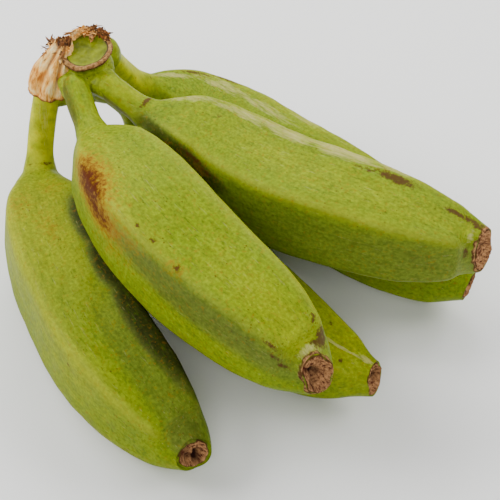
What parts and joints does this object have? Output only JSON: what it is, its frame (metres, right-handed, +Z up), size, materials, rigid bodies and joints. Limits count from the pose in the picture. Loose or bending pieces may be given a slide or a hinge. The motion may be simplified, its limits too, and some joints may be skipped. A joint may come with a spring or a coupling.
{
  "type": "hand of green cooking bananas",
  "caption": "Hand of squat, ridged green cooking bananas on one cut crown, lying with its lower row on a surface and its upper row in the hollows between.",
  "frame": {"origin": "on the surface, under the middle of the hand's box", "axes": "+Z up from the surface; the hand runs from its crown at -X +Y towards +X and -Y, seen from -Y with the crown at the back left"},
  "size_m": [0.1672, 0.176, 0.0792],
  "materials": {
    "green_skin": "satin, waxy green fruit skin with corky tip scars",
    "cut_crown": "matte, moist cut stalk with a dark dried rim",
    "dry_husk": "matte, dry papery bract fibre"
  },
  "bodies": {
    "root": {"finger_left": "green_skin", "finger_front": "green_skin", "finger_middle": "green_skin", "finger_right": "green_skin", "finger_back": "green_skin", "crown": "cut_crown", "dry_husk": "dry_husk"}
  },
  "joints": []
}
